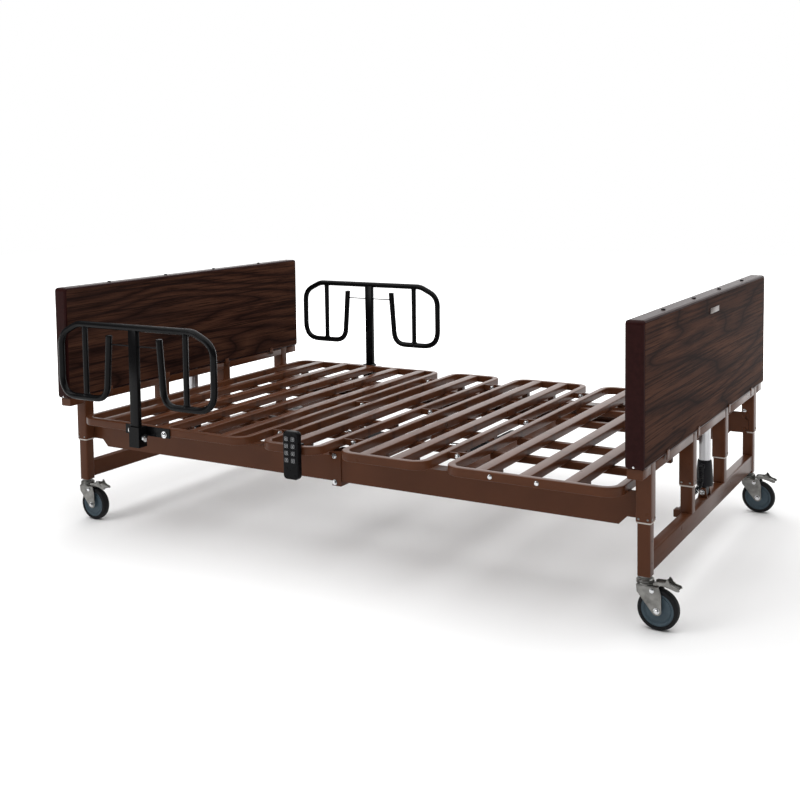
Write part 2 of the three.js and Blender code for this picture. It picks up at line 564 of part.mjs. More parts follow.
for (const [hand, sy] of [['left', 1], ['right', -1]]) {
  const lift = ASSIST_LIFT[hand];
  const post = ASSIST.centreX - sy * ASSIST.offset;
  const set = (shape) => (sy < 0 ? shape.rotate([0, 0, 180]) : shape).translate([post, 0, 0]);
  add(`${hand}_assist_rail`, set(assistRail(lift)), 'black');
  add(`${hand}_rail_socket`, set(railSocket(ASSIST.offset, lift)), 'black');
  add(`${hand}_plunger_knob`, set(plungerKnob()), 'steel');
}

// ---- the foot lift's coiled cable, held between the motor outlet and a box on the inner leg -------
const CABLE = [[1143, -36.5, 338], [1143, -42, 338], [1144, -54, 333], [1147, -62, 314], [1146, -66, 290],
  [1138, -72, 268], [1122, -92, 251], [1112, -122, 234], [1111, -160, 222], [1111, -189.6, 221]];
const cablePath = new THREE.CatmullRomCurve3(CABLE.map((p) => new THREE.Vector3(...p)), false, 'centripetal');
add('foot_motor_cable', sweep(cablePath, 7, 8, 18), 'cable');

export default bed;
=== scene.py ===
"""Looks of an adjustable hospital bed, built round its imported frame. Metres, +X to the foot end."""
import json
import math

import bmesh
import bpy
import numpy as np
from mathutils import Matrix, Vector


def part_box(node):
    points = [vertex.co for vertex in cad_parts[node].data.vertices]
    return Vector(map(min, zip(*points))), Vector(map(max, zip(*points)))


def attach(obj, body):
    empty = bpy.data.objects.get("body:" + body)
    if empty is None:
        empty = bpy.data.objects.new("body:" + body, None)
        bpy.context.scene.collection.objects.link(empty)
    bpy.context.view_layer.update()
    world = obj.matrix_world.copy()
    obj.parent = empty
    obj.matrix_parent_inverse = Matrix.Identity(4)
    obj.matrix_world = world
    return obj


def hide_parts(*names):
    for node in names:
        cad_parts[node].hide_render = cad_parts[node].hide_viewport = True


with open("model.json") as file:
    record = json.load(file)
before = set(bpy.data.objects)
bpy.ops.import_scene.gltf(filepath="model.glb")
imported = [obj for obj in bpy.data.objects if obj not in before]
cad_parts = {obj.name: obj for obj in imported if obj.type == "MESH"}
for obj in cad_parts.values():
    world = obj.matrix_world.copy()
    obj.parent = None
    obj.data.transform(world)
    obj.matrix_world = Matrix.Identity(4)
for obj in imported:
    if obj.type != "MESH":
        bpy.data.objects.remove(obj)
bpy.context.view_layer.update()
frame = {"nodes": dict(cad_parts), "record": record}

# ---- driving dimensions, in millimetres from mid-bed, and the frame's own places ------------------
MM = 0.001
ENDS = {"head": -1, "foot": 1}
HANDS = {"left": -1, "right": 1}
MID = (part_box("head_board")[0][0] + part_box("foot_board")[1][0]) / 2
COLUMN_X = 1143
COLUMN_YS = (-650, -207, 207, 650)
SLEEVE = {"size": 48, "wall": 3, "bottom": 322, "top": 800, "round": 6}
LEG = {"size": 40, "wall": 3, "bottom": 158, "inner_bottom": 227, "top": 700, "round": 5}
END_RAIL = {"half_width": 750, "bottom": 468, "top": 498.7}
CROSSBAR = {"bottom": 165, "top": 228, "depth": 36}
BOARD = {"centre": 1145, "half_thick": 30, "bottom": 499, "top": 931, "half_width": 762}
DECK = {"half_width": 745, "bottom": 402, "top": 431, "bar": 25, "corner": 60, "edge": 3.5}
SLAT = {"width": 42, "bottom": 403, "top": 430.4, "edge": 3}
RUNNER = {"ys": (-400, -180, 180, 400), "width": 25, "bottom": 378, "top": 404}
HINGE = {"back": -248, "thigh": 69, "calf": 478, "z": 418}
LUG_YS = (-560, 0, 560)
SECTIONS = {
    "back": {"body": "back", "from": -1076, "to": -280, "slats": (-956, 144, 5), "pads": (-956, -668, -380)},
    "seat": {"body": "bed_frame", "from": -216, "to": 30, "slats": (-105, 100, 1), "pads": (-204, -105, 5)},
    "thigh": {"body": "thigh", "from": 108, "to": 446, "slats": (210, 120, 2), "pads": (210, 330)},
    "calf": {"body": "calf", "from": 510, "to": 1094, "slats": (638, 149, 3), "pads": (638, 936)},
}
CASTER = {"trail": 40, "wheel_r": 62.5, "rim_r": 50, "half_tyre": 16, "top": 157.7}
LIFT = {"tube_r": 20, "bore_r": 12, "motor_top": 356, "tube_top": 760}
ASSIST = {"centre": -723, "offset": 28, "y": 778, "reach": 375, "tube": 12.5, "bolt_span": 82}
RAIL_LIFT = {"left": 0, "right": 18}
KEY = {"x": -55, "pitch_x": 27, "pitch_z": 24.6, "top_z": 462, "face_y": -777.6, "half": 6.4}


def at(x, y, z):
    return Vector((x * MM + MID, y * MM, z * MM))


# ---- materials -----------------------------------------------------------------------------------
class Finish:
    """A Principled material with a few named helpers for its procedural parts."""

    def __init__(self, name, color, roughness, metallic=0.0, specular=0.5):
        self.material = bpy.data.materials.new(name)
        self.material.use_nodes = True
        self.nodes = self.material.node_tree.nodes
        self.links = self.material.node_tree.links
        self.shader = self.nodes["Principled BSDF"]
        self.color = color
        values = {"Base Color": (*color, 1), "Roughness": roughness, "Metallic": metallic,
                  "Specular IOR Level": specular}
        for socket, value in values.items():
            self.shader.inputs[socket].default_value = value
        self.place = self.nodes.new("ShaderNodeTexCoord").outputs["Object"]

    def node(self, kind, inputs=(), **settings):
        made = self.nodes.new(kind)
        for key, value in settings.items():
            setattr(made, key, value)
        for key, value in dict(inputs).items():
            if isinstance(value, bpy.types.NodeSocket):
                self.links.new(value, made.inputs[key])
            else:
                made.inputs[key].default_value = value
        return made

    def math(self, operation, a, b=0.0):
        return self.node("ShaderNodeMath", {0: a, 1: b}, operation=operation).outputs[0]

    def stretched(self, scale, source=None):
        return self.node("ShaderNodeMapping", {"Vector": source or self.place, "Scale": scale}).outputs[0]

    def noise(self, scale, detail=3.0, stretch=(1, 1, 1), distortion=0.0, roughness=0.5):
        return self.node("ShaderNodeTexNoise", {"Vector": self.stretched(stretch), "Scale": scale,
                                                "Detail": detail, "Distortion": distortion,
                                                "Roughness": roughness}).outputs["Fac"]

    def ramp(self, fac, stops):
        made = self.node("ShaderNodeValToRGB", {"Fac": fac})
        elements = made.color_ramp.elements
        while len(elements) < len(stops):
            elements.new(0.5)
        for element, (place, color) in zip(elements, stops):
            element.position = place
            element.color = (*color, 1)
        return made.outputs["Color"]

    def mix(self, fac, a, b, blend="MIX"):
        made = self.node("ShaderNodeMix", data_type="RGBA", blend_type=blend)
        for index, value in ((0, fac), (6, a), (7, b)):
            if isinstance(value, bpy.types.NodeSocket):
                self.links.new(value, made.inputs[index])
            else:
                made.inputs[index].default_value = value if index == 0 else (*value, 1)
        return made.outputs[2]

    def paint(self, socket):
        self.links.new(socket, self.shader.inputs["Base Color"])

    def rough(self, fac, low, high):
        spread = self.node("ShaderNodeMapRange", {"Value": fac, "To Min": low, "To Max": high}).outputs[0]
        self.links.new(spread, self.shader.inputs["Roughness"])

    def bump(self, height, depth, strength=1.0):
        made = self.node("ShaderNodeBump", {"Height": height, "Distance": depth, "Strength": strength})
        self.links.new(made.outputs["Normal"], self.shader.inputs["Normal"])

    def shades(self, fac, spread):
        """Base colour that drifts a little darker and lighter with fac."""
        dark = [c * (1 - spread) for c in self.color]
        light = [min(1, c * (1 + spread)) for c in self.color]
        return self.ramp(fac, [(0.3, dark), (0.7, light)])


def powder_coat(name, color, darker_over_runners=False):
    finish = Finish(name, color, 0.28, specular=0.11)
    shade = finish.shades(finish.noise(5, 4), 0.12)
    if darker_over_runners:
        # The colour darkens in narrow bands, 11 mm either side of each runner line, on every deck surface
        # there.
        parts = finish.node("ShaderNodeSeparateXYZ", {0: finish.place}).outputs
        across = finish.math("ABSOLUTE", parts[1])
        span = (RUNNER["ys"][3] - RUNNER["ys"][2]) / 2 * MM
        middle = (RUNNER["ys"][3] + RUNNER["ys"][2]) / 2 * MM
        near = finish.math("ABSOLUTE", finish.math("SUBTRACT", across, middle))
        gap = finish.math("ABSOLUTE", finish.math("SUBTRACT", near, span))
        mark = finish.math("LESS_THAN", gap, 0.011)
        shade = finish.mix(finish.math("MULTIPLY", mark, 0.55), shade, [c * 0.55 for c in color])
    finish.paint(shade)
    finish.rough(finish.noise(16, 2), 0.26, 0.31)
    finish.bump(finish.noise(420, 2), 0.0003, 0.05)
    return finish.material


def walnut_laminate():
    finish = Finish("walnut_laminate", (0.045, 0.022, 0.017), 0.34, specular=0.07)
    parts = finish.node("ShaderNodeSeparateXYZ", {0: finish.place}).outputs
    figure = finish.noise(1.0, 2, (0.5, 0.45, 3.0), distortion=0.35, roughness=0.4)
    contours = finish.math("PINGPONG", finish.math("MULTIPLY", figure, 34.0), 1.0)
    grain = finish.ramp(contours, [(0.0, (0.0170, 0.0076, 0.0062)), (0.12, (0.037, 0.0160, 0.0112)),
                                   (0.5, (0.058, 0.0245, 0.0155)), (1.0, (0.080, 0.0345, 0.0210))])
    streaks = finish.noise(1, 5, (30, 1.8, 130), roughness=0.7)
    grain = finish.mix(finish.ramp(streaks, [(0.40, (0.85, 0.85, 0.85)), (0.52, (0, 0, 0))]), grain,
                       (0.013, 0.0065, 0.0058))
    clouds = finish.noise(1.7, 3, (1, 0.5, 1.7))
    grain = finish.mix(finish.ramp(clouds, [(0.42, (0, 0, 0)), (0.72, (0.35, 0.35, 0.35))]), grain,
                       (0.024, 0.0150, 0.0135))
    pores = finish.noise(1, 3, (240, 9, 300), roughness=0.6)
    pore_mask = finish.ramp(pores, [(0.36, (0.5, 0.5, 0.5)), (0.5, (1, 1, 1))])
    grain = finish.mix(0.8, grain, pore_mask, blend="MULTIPLY")
    off_middle = finish.math("ABSOLUTE", finish.math("SUBTRACT", parts[0], MID))
    inward = finish.math("ABSOLUTE", finish.math("SUBTRACT", off_middle, BOARD["centre"] * MM))
    on_rim = finish.math("LESS_THAN", inward, (BOARD["half_thick"] - 0.6) * MM)
    band_noise = finish.noise(90, 3)
    band = finish.ramp(band_noise, [(0.3, (0.0165, 0.0038, 0.0036)), (0.7, (0.0225, 0.0056, 0.0052))])
    finish.paint(finish.mix(on_rim, grain, band))
    sheen = finish.node("ShaderNodeMapRange", {"Value": on_rim, "To Min": 0.0015, "To Max": 0.055}).outputs[0]
    finish.links.new(sheen, finish.shader.inputs["Specular IOR Level"])
    finish.rough(pores, 0.3, 0.38)
    finish.bump(pores, 0.0003, 0.08)
    return finish.material


def plain_finish(name, color, roughness, metallic=0.0, specular=0.35, spread=0.08, scale=60, grain=500,
                 depth=0.0002, stretch=(1, 1, 1)):
    finish = Finish(name, color, roughness, metallic=metallic, specular=specular)
    finish.paint(finish.shades(finish.noise(scale, 4, stretch), spread))
    finish.rough(finish.noise(scale * 1.7, 4, stretch), roughness * 0.8, min(1, roughness * 1.25))
    finish.bump(finish.noise(grain, 2, stretch), depth, 0.1)
    return finish.material


BROWN = (0.080, 0.0280, 0.0125)
MATERIALS = {
    "board_laminate": walnut_laminate(),
    "brown_paint": powder_coat("brown_powder_coat", BROWN),
    "deck_paint": powder_coat("deck_powder_coat", BROWN, darker_over_runners=True),
    "black_paint": plain_finish("gloss_black_paint", (0.0030, 0.0030, 0.0034), 0.24, specular=0.10,
                                grain=700),
    "zinc": plain_finish("zinc_plate", (0.20, 0.197, 0.187), 0.30, metallic=1.0, spread=0.3, scale=45),
    "wheel_hub": plain_finish("blue_grey_hub", (0.060, 0.088, 0.108), 0.42, specular=0.2, spread=0.06),
    "tyre": plain_finish("grey_black_tyre", (0.010, 0.010, 0.011), 0.6, specular=0.15, spread=0.15,
                         scale=120),
    "key": plain_finish("key_rubber", (0.008, 0.008, 0.010), 0.5, specular=0.15, spread=0.05, scale=200),
    "pendant_plastic": plain_finish("gloss_black_plastic", (0.0032, 0.0032, 0.0038), 0.28, specular=0.08,
                                    grain=1500),
    "black_plastic": plain_finish("black_moulding", (0.007, 0.007, 0.009), 0.45, specular=0.15, grain=1300,
                                  depth=0.0003),
    "anodised": plain_finish("clear_anodised", (0.46, 0.46, 0.47), 0.33, metallic=1.0, spread=0.06,
                             stretch=(1, 1, 0.05)),
    "steel": plain_finish("bright_steel", (0.66, 0.67, 0.68), 0.22, metallic=1.0, spread=0.08, scale=90),
    "cable": plain_finish("cable_sheath", (0.004, 0.004, 0.005), 0.4, specular=0.2, spread=0.1),
    "nylon": plain_finish("pale_nylon_bush", (0.50, 0.46, 0.42), 0.55, spread=0.06),
    "plate": plain_finish("grey_plate", (0.16, 0.14, 0.13), 0.4, metallic=0.6, spread=0.05),
    "key_mark": plain_finish("key_print", (0.42, 0.43, 0.44), 0.6, spread=0.03, scale=300),
}
for part in frame["record"]["subparts"]:
    node = frame["nodes"][part["node"]]
    node.data.materials.clear()
    node.data.materials.append(MATERIALS[part["material_slot"]])


# ---- making pieces -------------------------------------------------------------------------------
def rounded_ring(u0, u1, v0, v1, radius, steps=4):
    """Points of a rounded rectangle, anticlockwise."""
    corners = [(u1 - radius, v0 + radius, -90), (u1 - radius, v1 - radius, 0),
               (u0 + radius, v1 - radius, 90), (u0 + radius, v0 + radius, 180)]
    ring = []
    for cu, cv, start in corners:
        for step in range(steps + 1):
            turn = math.radians(start + 90 * step / steps)
            ring.append((cu + radius * math.cos(turn), cv + radius * math.sin(turn)))
    return ring


def filleted(points, bends, steps=8):
    """A path through the corner points, each inner corner rounded on its own radius."""
    corners = [Vector(p) for p in points]
    path = [corners[0]]
    for corner, before, after, bend in zip(corners[1:-1], corners, corners[2:], bends):
        back = (before - corner).normalized()
        ahead = (after - corner).normalized()
        reach = bend / math.tan(back.angle(ahead) / 2)
        start, end = corner + back * reach, corner + ahead * reach
        for step in range(steps + 1):
            t = step / steps
            path.append(start * (1 - t) ** 2 + corner * 2 * t * (1 - t) + end * t * t)
    return path + [corners[-1]]


def dress(piece, body, slot, replaces=(), finish=None):
    """Shading, material and body of a finished piece; the slot picks its material unless a finish is given.
    """
    for face in piece.data.polygons:
        face.use_smooth = True
    piece.data.set_sharp_from_angle(angle=math.radians(38))
    piece.data.materials.clear()
    piece.data.materials.append(MATERIALS[finish or slot])
    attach(piece, body)
    if replaces:
        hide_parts(*replaces)
    return piece


class Maker:
    """Collects closed shells in one mesh, drawn in millimetres from mid-bed."""

    def __init__(self, name, origin=(0, 0, 0)):
        self.name = name
        self.origin = Vector(origin)
        self.mesh = bmesh.new()

    def rings(self, rings, closed=False):
        """Skins a list of equal rings; the ends are capped unless the list closes on itself."""
        made = [[self.mesh.verts.new(at(*(self.origin + Vector(p)))) for p in ring] for ring in rings]
        pairs = list(zip(made, made[1:])) + ([(made[-1], made[0])] if closed else [])
        count = len(made[0])
        for low, high in pairs:
            for i in range(count):
                j = (i + 1) % count
                self.mesh.faces.new((low[i], low[j], high[j], high[i]))
        if not closed:
            self.mesh.faces.new(made[0][::-1])
            self.mesh.faces.new(made[-1])

    def bar(self, axis, low, high, radius, wall=0):
        """Rounded bar or, with a wall, an open tube, running along one axis between two corners."""
        u, v = [i for i in range(3) if i != axis]

        def ring(place, inset):
            points = []
            for a, b in rounded_ring(low[u] + inset, high[u] - inset, low[v] + inset, high[v] - inset,
                                     max(radius - inset, 0.8)):
                point = [0, 0, 0]
                point[axis], point[u], point[v] = place, a, b
                points.append(point)
            return points

        start, end = low[axis], high[axis]
        if wall:
            self.rings([ring(start, 0), ring(end, 0), ring(end, wall), ring(start, wall)], closed=True)
        else:
            edge = min(radius, 1.2)
            self.rings([ring(start, edge * 0.7), ring(start + edge, 0), ring(end - edge, 0),
                        ring(end, edge * 0.7)])

    def turned(self, profile, centre, axis=2, sides=48, closed=False):
        """A profile of (radius, place) pairs turned about one axis through the centre."""
        u, v = [(1, 2), (2, 0), (0, 1)][axis]
        rings = []
        for radius, place in profile:
            ring = []
            for i in range(sides):
                turn = 2 * math.pi * i / sides
                point = list(centre)
                point[axis] += place
                point[u] += radius * math.cos(turn)
                point[v] += radius * math.sin(turn)
                ring.append(point)
            rings.append(ring)
        self.rings(rings, closed)

    def plate(self, outline, y0, y1, edge=0.8):
        """An outline in X and Z given a thickness in Y, its rim slightly rounded."""
        middle = Vector((sum(p[0] for p in outline), sum(p[1] for p in outline))) / len(outline)
        inner = [Vector(p) + (middle - Vector(p)).normalized() * edge for p in outline]
        step = edge if y1 > y0 else -edge
        levels = [(y0, inner), (y0 + step, outline), (y1 - step, outline), (y1, inner)]
        self.rings([[(x, y, z) for x, z in ring] for y, ring in levels])

    def tube(self, path, radius, sides=16):
        """A round tube along the path, its section carried without twist."""
        points = [Vector(p) for p in path]
        tangents = [(b - a).normalized() for a, b in zip(points, points[1:])]
        between = [(a + b).normalized() for a, b in zip(tangents, tangents[1:])]
        tangents = [tangents[0], *between, tangents[-1]]
        side = tangents[0].orthogonal().normalized()
        rings = []
        for point, tangent in zip(points, tangents):
            side = (side - tangent * side.dot(tangent)).normalized()
            other = tangent.cross(side)
            rings.append([point + (side * math.cos(a) + other * math.sin(a)) * radius
                          for a in (2 * math.pi * i / sides for i in range(sides))])
        self.rings(rings)

    def piece(self, body, slot, replaces=(), finish=None, turn=None):
        """Turns the shells into one object, faces outwards."""
        if turn:
            centre, angle = at(*turn[0]), math.radians(turn[1])
            rotation = np.array([[math.cos(angle), -math.sin(angle)], [math.sin(angle), math.cos(angle)]])
            for vert in self.mesh.verts:
                vert.co.x, vert.co.y = rotation @ (vert.co.x - centre.x, vert.co.y - centre.y) + (centre.x,
                                                                                                centre.y)
        bmesh.ops.recalc_face_normals(self.mesh, faces=self.mesh.faces)
        data = bpy.data.meshes.new(self.name)
        self.mesh.to_mesh(data)
        self.mesh.free()
        made = bpy.data.objects.new(self.name, data)
        bpy.context.scene.collection.objects.link(made)
        return dress(made, body, slot, replaces, finish)


def settled(source):
    """Replaces an object's live modifiers by the plain mesh they give."""
    evaluated = source.evaluated_get(bpy.context.evaluated_depsgraph_get())
    data = bpy.data.meshes.new_from_object(evaluated)
    source.modifiers.clear()
    source.data = data
    return source


# ---- geometry node trees -------------------------------------------------------------------------
class Tree:
    """A geometry node tree with named inputs."""

    def __init__(self, name, inputs):
        self.group = bpy.data.node_groups.new(name, "GeometryNodeTree")
        face = self.group.interface
        face.new_socket("Geometry", in_out="INPUT", socket_type="NodeSocketGeometry")
        for label, kind in inputs.items():
            face.new_socket(label, in_out="INPUT", socket_type="NodeSocket" + kind)
        face.new_socket("Geometry", in_out="OUTPUT", socket_type="NodeSocketGeometry")
        self.inputs = self.group.nodes.new("NodeGroupInput").outputs

    def node(self, kind, inputs=(), **settings):
        full_name = kind if kind.startswith(("Shader", "Function")) else "GeometryNode" + kind
        made = self.group.nodes.new(full_name)
        for key, value in settings.items():
            setattr(made, key, value)
        for key, value in dict(inputs).items():
            if isinstance(value, (list, tuple)) and value and isinstance(value[0], bpy.types.NodeSocket):
                for source in value:
                    self.group.links.new(source, made.inputs[key])
            elif isinstance(value, bpy.types.NodeSocket):
                self.group.links.new(value, made.inputs[key])
            else:
                made.inputs[key].default_value = value
        return made

    def math(self, operation, a, b=0.0):
        return self.node("ShaderNodeMath", {0: a, 1: b}, operation=operation).outputs[0]

    def vector(self, x=0.0, y=0.0, z=0.0):
        return self.node("ShaderNodeCombineXYZ", {0: x, 1: y, 2: z}).outputs[0]

    def profile(self, width, height, radius):
        """A rounded rectangle to sweep."""
        square = self.node("CurvePrimitiveQuadrilateral", {"Width": width, "Height": height}).outputs[0]
        return self.fillet(square, radius, 4)

    def fillet(self, curve, radius, count):
        return self.node("FilletCurve", {"Curve": curve, "Radius": radius, "Count": count},
                         mode="POLY").outputs[0]

    def sweep(self, curve, profile):
        upright = self.node("SetCurveNormal", {"Curve": curve}, mode="Z_UP").outputs[0]
        return self.node("CurveToMesh", {"Curve": upright, "Profile Curve": profile,
                                         "Fill Caps": True}).outputs[0]

    def close(self, geometry):
        """Ends the tree in plain mesh with its material set."""
        real = self.node("RealizeInstances", {0: geometry}).outputs[0]
        painted = self.node("SetMaterial", {"Geometry": real, "Material": self.inputs["Material"]}).outputs[0]
        out = self.group.nodes.new("NodeGroupOutput")
        self.group.links.new(painted, out.inputs[0])
        return self.group


def grow(name, group, places, values, body, slot, replaces=(), finish=None):
    """Runs a tree on seed points (place, direction) and keeps the plain mesh for one body."""
    data = bpy.data.meshes.new(name)
    data.from_pydata([at(*place) for place, _ in places], [], [])
    heading = data.attributes.new("heading", "FLOAT_VECTOR", "POINT")
    heading.data.foreach_set("vector", [c for _, direction in places for c in direction])
    made = bpy.data.objects.new(name, data)
    bpy.context.scene.collection.objects.link(made)
    modifier = made.modifiers.new(group.name, "NODES")
    modifier.node_group = group
    values = dict(values, Material=MATERIALS[finish or slot])
    for socket in group.interface.items_tree:
        if socket.in_out == "INPUT" and socket.name in values:
            modifier[socket.identifier] = values[socket.name]
    return dress(settled(made), body, slot, replaces, finish)


def fastener_tree():
    """A washer and a chamfered head standing on every seed point, along its heading."""
    tree = Tree("fastener", {"Head Radius": "Float", "Head Height": "Float", "Washer Radius": "Float",
                             "Washer Height": "Float", "Sides": "Int", "Material": "Material"})
    sizes = tree.inputs
    washer_lift = tree.math("MULTIPLY", sizes["Washer Height"], 0.5)
    washer = tree.node("MeshCylinder", {"Vertices": 28, "Radius": sizes["Washer Radius"],
                                        "Depth": sizes["Washer Height"]}).outputs[0]
    lifted = tree.vector(z=washer_lift)
    washer = tree.node("Transform", {"Geometry": washer, "Translation": lifted}).outputs[0]
    head_lift = tree.math("MULTIPLY", sizes["Head Height"], 0.35)
    head_lift = tree.math("ADD", head_lift, tree.math("MULTIPLY", sizes["Washer Height"], 0.9))
    head = tree.node("MeshCylinder", {"Vertices": sizes["Sides"], "Radius": sizes["Head Radius"],
                                      "Depth": tree.math("MULTIPLY", sizes["Head Height"], 0.7)}).outputs[0]
    head = tree.node("Transform", {"Geometry": head, "Translation": tree.vector(z=head_lift)}).outputs[0]
    crown_lift = tree.math("ADD", head_lift, tree.math("MULTIPLY", sizes["Head Height"], 0.349))
    crown = tree.node("MeshCone", {"Vertices": sizes["Sides"], "Radius Bottom": sizes["Head Radius"],
                                   "Radius Top": tree.math("MULTIPLY", sizes["Head Radius"], 0.68),
                                   "Depth": tree.math("MULTIPLY", sizes["Head Height"], 0.3)}).outputs[0]
    crown = tree.node("Transform", {"Geometry": crown, "Translation": tree.vector(z=crown_lift)}).outputs[0]
    whole = tree.node("JoinGeometry", {0: [washer, head, crown]}).outputs[0]
    heading = tree.node("InputNamedAttribute", {"Name": "heading"}, data_type="FLOAT_VECTOR").outputs[0]
    turn = tree.node("FunctionNodeAlignRotationToVector", {"Vector": heading}, axis="Z").outputs[0]
    placed = tree.node("InstanceOnPoints", {"Points": tree.inputs["Geometry"], "Instance": whole,
                                            "Rotation": turn}).outputs[0]
    return tree.close(placed)


def bush_tree():
    """A square ring on every seed point, the guide bush of a sliding leg."""
    tree = Tree("guide_bush", {"Outer": "Float", "Width": "Float", "Height": "Float", "Corner": "Float",
                               "Material": "Material"})
    middle = tree.math("SUBTRACT", tree.inputs["Outer"], tree.inputs["Width"])
    path = tree.node("CurvePrimitiveQuadrilateral", {"Width": middle, "Height": middle}).outputs[0]
    path = tree.fillet(path, tree.inputs["Corner"], 4)
    section = tree.profile(tree.inputs["Width"], tree.inputs["Height"], 0.0006)
    ring = tree.sweep(path, section)
    placed = tree.node("InstanceOnPoints", {"Points": tree.inputs["Geometry"], "Instance": ring}).outputs[0]
    return tree.close(placed)


def section_tree():
    """One deck section: a rounded tube frame, evenly spaced slats, and runners on the seed points."""
    tree = Tree("slatted_section", {
        "Middle": "Float", "Length": "Float", "Half Width": "Float", "Bar": "Float", "Height": "Float",
        "Level": "Float", "Corner": "Float", "Edge": "Float", "First Slat": "Float", "Slat Pitch": "Float",
        "Slat Count": "Int", "Slat Width": "Float", "Slat Height": "Float", "Slat Level": "Float",
        "Runner Width": "Float", "Runner Height": "Float", "Material": "Material"})
    sizes = tree.inputs
    length = tree.math("SUBTRACT", sizes["Length"], sizes["Bar"])
    width = tree.math("SUBTRACT", tree.math("MULTIPLY", sizes["Half Width"], 2.0), sizes["Bar"])
    corner = tree.math("SUBTRACT", sizes["Corner"], tree.math("MULTIPLY", sizes["Bar"], 0.5))
    loop = tree.node("CurvePrimitiveQuadrilateral", {"Width": length, "Height": width}).outputs[0]
    loop = tree.fillet(loop, corner, 10)
    hoop = tree.sweep(loop, tree.profile(sizes["Bar"], sizes["Height"], sizes["Edge"]))
    centred = tree.vector(sizes["Middle"], 0.0, sizes["Level"])
    hoop = tree.node("Transform", {"Geometry": hoop,
                                   "Translation": centred}).outputs[0]
    reach = tree.math("SUBTRACT", sizes["Half Width"], tree.math("MULTIPLY", sizes["Bar"], 0.7))
    line = tree.node("CurvePrimitiveLine", {"Start": tree.vector(y=tree.math("MULTIPLY", reach, -1.0)),
                                            "End": tree.vector(y=reach)}).outputs[0]
    slat = tree.sweep(line, tree.profile(sizes["Slat Width"], sizes["Slat Height"], sizes["Edge"]))
    row = tree.node("MeshLine", {"Count": sizes["Slat Count"],
                                 "Start Location": tree.vector(sizes["First Slat"], 0.0, sizes["Slat Level"]),
                                 "Offset": tree.vector(sizes["Slat Pitch"])}).outputs[0]
    slats = tree.node("InstanceOnPoints", {"Points": row, "Instance": slat}).outputs[0]
    half = tree.math("MULTIPLY", length, 0.5)
    lie = tree.node("CurvePrimitiveLine", {"Start": tree.vector(tree.math("MULTIPLY", half, -1.0)),
                                           "End": tree.vector(half)}).outputs[0]
    runner = tree.sweep(lie, tree.profile(sizes["Runner Width"], sizes["Runner Height"], 0.003))
    runners = tree.node("InstanceOnPoints", {"Points": sizes["Geometry"], "Instance": runner}).outputs[0]
    return tree.close(tree.node("JoinGeometry", {0: [hoop, slats, runners]}).outputs[0])


FASTENER = fastener_tree()
BUSH = bush_tree()
SECTION = section_tree()
HEX_BOLT = {"Head Radius": 0.0075, "Head Height": 0.006, "Washer Radius": 0.0095, "Washer Height": 0.0015,
            "Sides": 6}
SMALL_SCREW = {"Head Radius": 0.0030, "Head Height": 0.0016, "Washer Radius": 0.0033, "Washer Height": 0.0004,
               "Sides": 18}
FLUSH_PLUG = dict(SMALL_SCREW, **{"Head Height": 0.00015, "Washer Height": 0.00015})
PAN_SCREW = {"Head Radius": 0.0065, "Head Height": 0.0035, "Washer Radius": 0.0072, "Washer Height": 0.0008,
             "Sides": 24}


# ---- the ends of the bed -------------------------------------------------------------------------
def end_frame(end, side):
    frame_piece = Maker(f"{end}_sleeves_and_rail")
    half = SLEEVE["size"] / 2
    x = side * COLUMN_X
    for y in COLUMN_YS:
        frame_piece.bar(2, (x - half, y - half, SLEEVE["bottom"]), (x + half, y + half, SLEEVE["top"]),
                        SLEEVE["round"], SLEEVE["wall"])
    stops = [-END_RAIL["half_width"], *(y + s * (half - 1) for y in COLUMN_YS for s in (-1, 1)),
             END_RAIL["half_width"]]
    stops.sort()
    for start, stop in zip(stops[::2], stops[1::2]):
        frame_piece.bar(1, (x - half, start, END_RAIL["bottom"]), (x + half, stop, END_RAIL["top"]), 4)
    for y in (-540, -200, 200, 540):
        for face in (COLUMN_X - 28 - 3, 1175.4):
            low, high = sorted((side * face, side * (face + 2.8)))
            frame_piece.bar(2, (low, y - 12, 484), (high, y + 12, 514), 1.2)
    for hand in HANDS.values():
        for z in (333, 384):
            low, high = sorted((hand * (650 - half + 1), hand * (650 - half - 9)))
            frame_piece.turned([(0.01, low), (5.4, low), (6, low + 0.8), (6, high - 0.8), (5.4, high),
                                (0.01, high)], (side * 1131, 0, z), axis=1, sides=24)
    frame_piece.piece("bed_frame", "brown_paint", [f"{end}_end_frame"])
    bottoms = [((x, y, SLEEVE["bottom"] - 2), (0, 0, 1)) for y in COLUMN_YS]
    grow(f"{end}_guide_bushes", BUSH, bottoms, {"Outer": 0.046, "Width": 0.0026, "Height": 0.0055,
                                                "Corner": 0.005}, "bed_frame", "brown_paint", finish="nylon")
    screws = []
    for y in COLUMN_YS:
        screws += [((x + side * half, y + across, 331), (side, 0, 0)) for across in (-14, 14)]
        outward = -1 if y < 0 else 1
        screws.append(((x - 14, y + outward * half, 331), (0, outward, 0)))
        screws.append(((x + 14, y + outward * half, 331), (0, outward, 0)))
    grow(f"{end}_sleeve_screws", FASTENER, screws, SMALL_SCREW, "bed_frame", "zinc")
    caps = [((side * 1147, y, BOARD["top"]), (0, 0, 1)) for y in (-495, -160, 160, 495)]
    grow(f"{end}_board_screw_caps", FASTENER, caps, PAN_SCREW, "bed_frame", "black_plastic")
    rims = [((x, hand * BOARD["half_width"], 507), (0, hand, 0)) for hand in HANDS.values()]
    grow(f"{end}_board_rim_screws", FASTENER, rims, SMALL_SCREW, "bed_frame", "steel")
    if end == "foot":
        plate = Maker("blank_name_plate")
        plate.bar(1, (1175, -60, 869), (1176.6, 50, 888), 0.7)
        plate.piece("bed_frame", "steel", finish="plate")
    pins = [((side * 1131, hand * (650 - half), 404), (0, -hand, 0)) for hand in HANDS.values()]
    grow(f"{end}_hook_stop_screws", FASTENER, pins, PAN_SCREW, "bed_frame", "steel")


